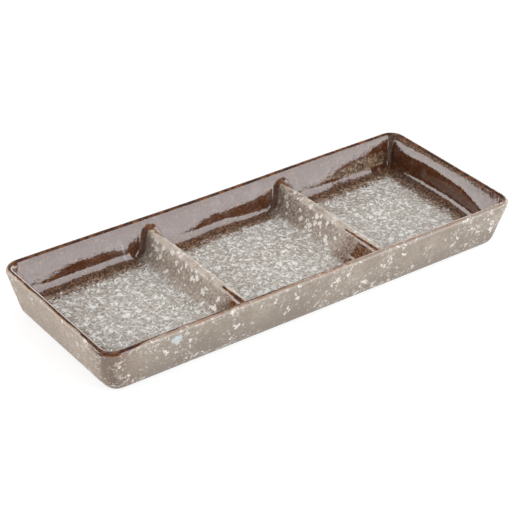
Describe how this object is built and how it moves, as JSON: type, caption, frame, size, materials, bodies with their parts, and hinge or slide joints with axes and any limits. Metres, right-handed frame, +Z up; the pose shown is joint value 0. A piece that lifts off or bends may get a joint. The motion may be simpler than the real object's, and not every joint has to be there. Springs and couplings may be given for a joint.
{
  "type": "divided sauce dish",
  "caption": "Shallow rectangular stoneware dish with low dividers that make a row of wells for sauces or condiments, rounded rim and foot ring.",
  "frame": {"origin": "under the middle of the dish, on the surface that the foot ring stands on", "axes": "+X along the row of wells, +Y across the dish, +Z up out of the wells"},
  "size_m": [0.245, 0.097, 0.027],
  "materials": {
    "stoneware": "bare fired clay, matte and slightly gritty",
    "well_glaze": "glossy brown glaze, flecked grey and white on the floors",
    "rim_glaze": "glossy dark brown where the glaze breaks over the edge",
    "outer_glaze": "satin warm grey glaze with off-white flecks"
  },
  "bodies": {
    "root": {"stoneware_tray": "stoneware", "left_divider": "stoneware", "right_divider": "stoneware", "foot_ring": "stoneware", "left_well_glaze": "well_glaze", "middle_well_glaze": "well_glaze", "right_well_glaze": "well_glaze", "rim_glaze": "rim_glaze", "outer_glaze": "outer_glaze", "underside_glaze": "outer_glaze"}
  },
  "joints": []
}
